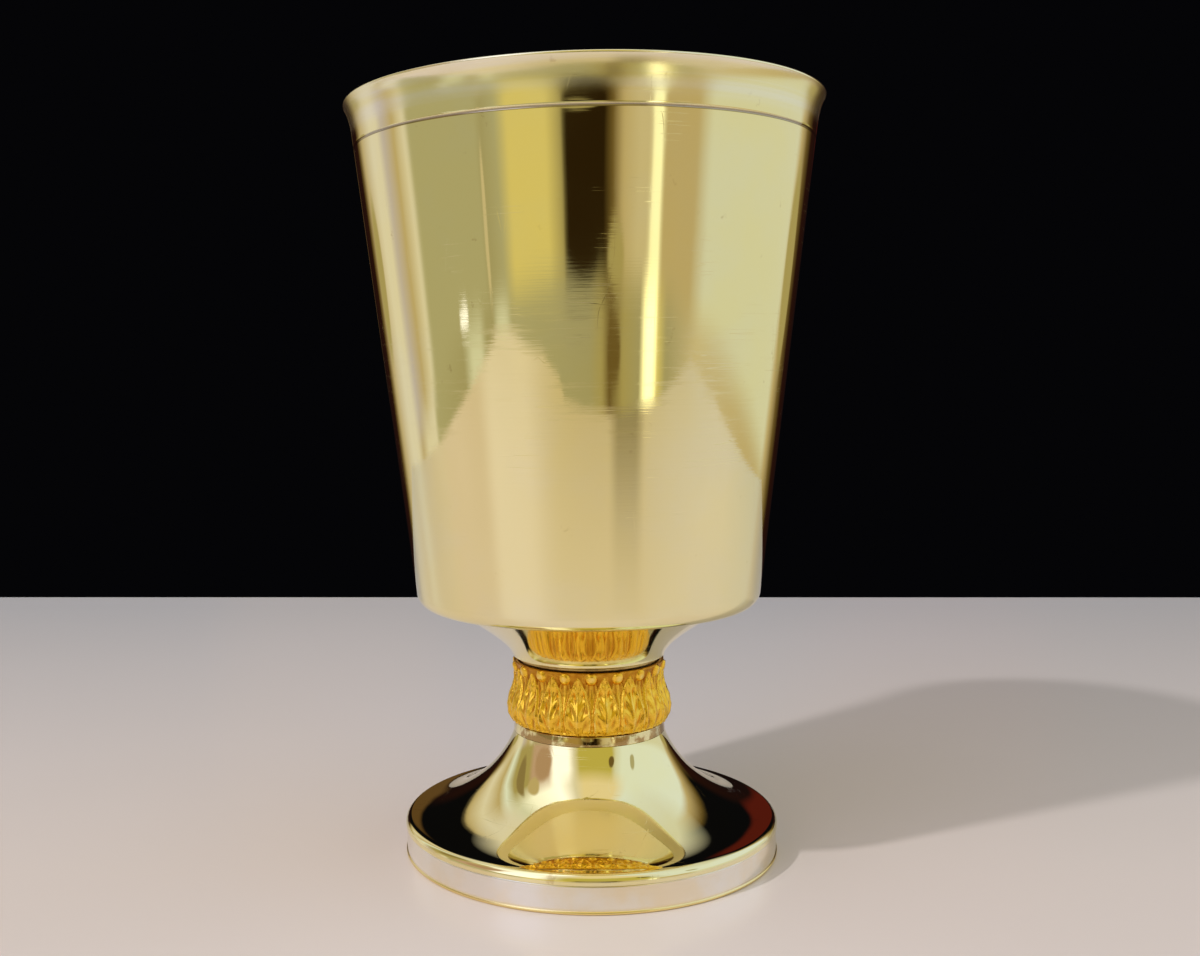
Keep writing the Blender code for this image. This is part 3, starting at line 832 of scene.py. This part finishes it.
def build_world():
    """Soft walls of light round the object. The camera itself sees only a plain dark surround."""
    world = bpy.data.worlds.new("studio")
    bpy.context.scene.world = world
    world.use_nodes = True
    tree = world.node_tree
    direction = make(tree, "TexCoord").outputs["Generated"]
    x, y, z = make(tree, "SeparateXYZ", {0: direction}).outputs
    azimuth = calc(tree, "ARCTAN2", x, calc(tree, "MULTIPLY", y, -1.0))
    turn = calc(tree, "ADD", calc(tree, "DIVIDE", azimuth, TURN), 0.5)
    elevation = calc(tree, "MULTIPLY", calc(tree, "ARCSINE", z), 180.0 / math.pi)
    drift = calc(tree, "SUBTRACT", noise_value(tree, direction, 3.5, 2.0), 0.5)
    turn = calc(tree, "ADD", turn, calc(tree, "MULTIPLY", drift, WALL_DRIFT))
    knee = wall_ramp(tree, turn, KNEE_WALLS)
    low = wall_ramp(tree, turn, LOW_WALLS)
    high = wall_ramp(tree, turn, HIGH_WALLS)
    ceiling = wall_ramp(tree, turn, CEILING)
    colour = mix_colour(tree, ramp_between(tree, elevation, *KNEE_TO_LOW), knee, low)
    colour = mix_colour(tree, ramp_between(tree, elevation, *LOW_TO_HIGH), colour, high)
    behind = calc(tree, "ABSOLUTE", calc(tree, "SUBTRACT", turn, 0.5))
    ceiling_from = ramp_between(
        tree, behind, *CEILING_FRONT_TO_BACK, CEILING_FROM_IN_FRONT, CEILING_FROM_BEHIND)
    above = calc(tree, "SUBTRACT", elevation, ceiling_from)
    above = calc(tree, "DIVIDE", above, CEILING_BLEND, clamp=True)
    colour = mix_colour(tree, above, colour, ceiling)
    for spot in SPOTS:
        colour = with_spot(tree, turn, elevation, colour, spot)
    room = make(tree, "Background", {"Color": colour, "Strength": 1.0})
    surround = make(tree, "Background", {"Color": rgba(SURROUND), "Strength": 1.0})
    to_camera = make(tree, "LightPath").outputs["Is Camera Ray"]
    mixed = make(tree, "MixShader", {0: to_camera, 1: room.outputs[0], 2: surround.outputs[0]})
    tree.links.new(mixed.outputs[0], tree.nodes["World Output"].inputs["Surface"])


# The table: its colours, and from where to where, in metres along Y, one gives way to the next.
TABLE_PALE = (0.79, 0.71, 0.70)
TABLE_PALER = (0.81, 0.73, 0.73)
# painted shade: the back of the board greyer and darker, as if less light reached it
TABLE_BACK_PAINTED_SHADE = (0.61, 0.60, 0.65)
TABLE_BACK_SHADE_BLEND = (-0.02, 0.30)
TABLE_FRONT = (0.66, 0.57, 0.46)
TABLE_FRONT_BLEND = (-0.10, -0.40)
PAINTED_REFLECTION_DARK = (0.10, 0.08, 0.05)  # a painted dark reflection on the board, of a dark thing in front of it, which the front of the cup mirrors
PAINTED_REFLECTION_AZIMUTH = math.radians(22.0)
PAINTED_REFLECTION_HALF_WIDTH = (math.radians(4.0), math.radians(11.0))
PAINTED_REFLECTION_FROM_AXIS = (0.13, 0.45)  # metres, from none to the full strength of the painted reflection
PAINTED_REFLECTION_STRENGTH = 0.75


def blend_along(tree, value, limits):
    """0 at the first of limits, 1 at the second."""
    inputs = {"Value": value, "From Min": limits[0], "From Max": limits[1]}
    return make(tree, "MapRange", inputs).outputs["Result"]


def painted_reflection_streak(tree, place, x, y):
    """How strong the painted dark reflection is: a streak that points away from the cup to the front right,
    and grows outwards.
    """
    azimuth = calc(tree, "ARCTAN2", x, calc(tree, "MULTIPLY", y, -1.0))
    aside = calc(tree, "ABSOLUTE", calc(tree, "SUBTRACT", azimuth, PAINTED_REFLECTION_AZIMUTH))
    inside = ramp_between(tree, aside, *PAINTED_REFLECTION_HALF_WIDTH, 1.0, 0.0)
    from_axis = make(tree, "VectorMath", {0: place}, operation="LENGTH").outputs["Value"]
    return calc(tree, "MULTIPLY", inside, ramp_between(tree, from_axis, *PAINTED_REFLECTION_FROM_AXIS, 0.0, PAINTED_REFLECTION_STRENGTH))


def table_material():
    """Pale, glossy lacquered board, faintly clouded, with painted shade that makes it greyer towards its
    back, warmer towards its front, and a painted dark reflection in a streak from the cup.
    """
    material, tree, shader, place = start_material("pale_table")
    x, y, _ = make(tree, "SeparateXYZ", {0: place}).outputs
    clouds = ramp_between(tree, noise_value(tree, place, 5.0, 2.0), 0.3, 0.7)
    colour = mix_colour(tree, clouds, rgba(TABLE_PALE), rgba(TABLE_PALER))
    # painted shade towards the back of the board
    colour = mix_colour(tree, blend_along(tree, y, TABLE_BACK_SHADE_BLEND), colour, rgba(TABLE_BACK_PAINTED_SHADE))
    colour = mix_colour(tree, blend_along(tree, y, TABLE_FRONT_BLEND), colour, rgba(TABLE_FRONT))
    # painted dark reflection in a streak across the board
    colour = mix_colour(tree, painted_reflection_streak(tree, place, x, y), colour, rgba(PAINTED_REFLECTION_DARK))
    tree.links.new(colour, shader.inputs["Base Color"])
    shader.inputs["Roughness"].default_value = 0.25
    shader.inputs["Specular IOR Level"].default_value = 0.2
    shader.inputs["Coat Weight"].default_value = 0.12
    shader.inputs["Coat Roughness"].default_value = 0.05
    return material


# The table top's corners, seen from above, in metres. It stands a little askew to the camera.
TABLE_CORNERS = (
    (-0.48, -0.20), (-0.46, -0.43), (-0.38, -0.48), (-0.20, -0.49), (-0.11, -0.45), (-0.08, -0.41),
    (0.48, -0.31), (0.50, -0.15), (0.40, 0.303), (-0.45, 0.337))
TABLE_THICKNESS = 0.02
TABLE_EDGE_ROUND = 0.0015


def build_floor():
    """A plain pale table top. Its back edge is the line where the dark surround begins."""
    editor = bmesh.new()
    top = editor.faces.new([editor.verts.new((x, y, 0.0)) for x, y in TABLE_CORNERS])
    sides = bmesh.ops.extrude_face_region(editor, geom=[top])["geom"]
    lowered = [v for v in sides if isinstance(v, bmesh.types.BMVert)]
    bmesh.ops.translate(editor, verts=lowered, vec=(0.0, 0.0, -TABLE_THICKNESS))
    bmesh.ops.recalc_face_normals(editor, faces=editor.faces)
    bmesh.ops.bevel(editor, geom=editor.edges[:], offset=TABLE_EDGE_ROUND, segments=3, affect="EDGES")
    mesh = bpy.data.meshes.new("floor")
    editor.to_mesh(mesh)
    editor.free()
    mesh.shade_smooth()
    mesh.set_sharp_from_angle(angle=math.radians(40.0))
    floor = bpy.data.objects.new("floor", mesh)
    bpy.context.scene.collection.objects.link(floor)
    mesh.materials.append(table_material())


KEY_AZIMUTH = math.radians(-54.5)
KEY_ELEVATION = math.radians(45.7)
KEY_DISTANCE = 2.69  # metres
KEY_DIAMETER = 0.13
KEY_ENERGY = 25.0  # watts
KEY_COLOUR = (1.0, 0.95, 0.90)


def build_key_light():
    """A round lamp, front left and above, which throws the shadow to the right. No metal mirrors it."""
    level = math.cos(KEY_ELEVATION)
    away = Vector((math.sin(KEY_AZIMUTH) * level, -math.cos(KEY_AZIMUTH) * level, math.sin(KEY_ELEVATION)))
    data = bpy.data.lights.new("key", "AREA")
    data.shape = "DISK"
    data.size = KEY_DIAMETER
    data.energy = KEY_ENERGY
    data.color = KEY_COLOUR
    light = bpy.data.objects.new("key", data)
    light.location = away * KEY_DISTANCE
    light.rotation_euler = away.to_track_quat("Z", "Y").to_euler()
    light.visible_camera = False
    light.visible_glossy = False
    bpy.context.scene.collection.objects.link(light)


CAMERA_PLACE = (0.0, -0.2861, 0.1037)  # metres
CAMERA_TURN = math.radians(2.94)  # to the left
CAMERA_DIP = math.radians(4.56)  # below level
CAMERA_ROLL = math.radians(-0.88)
CAMERA_LENS = 39.7  # millimetres, on a 36 mm sensor
CAMERA_SHIFT = 0.0678  # the cup stands left of the middle of the view


def build_camera():
    """Just below the cup's lip, looking a little down."""
    data = bpy.data.cameras.new("camera")
    data.sensor_width = 36.0
    data.lens = CAMERA_LENS
    data.shift_x = CAMERA_SHIFT
    data.clip_start = 0.01
    camera = bpy.data.objects.new("camera", data)
    turn = Matrix.Rotation(CAMERA_TURN, 4, "Z")
    tilt = Matrix.Rotation(math.pi / 2 - CAMERA_DIP, 4, "X")
    roll = Matrix.Rotation(CAMERA_ROLL, 4, "Z")
    camera.matrix_world = Matrix.Translation(CAMERA_PLACE) @ turn @ tilt @ roll
    bpy.context.scene.collection.objects.link(camera)
    bpy.context.scene.camera = camera


build_camera()
build_world()
build_floor()
build_key_light()
build_pieces()
bpy.context.scene.view_settings.view_transform = "Standard"
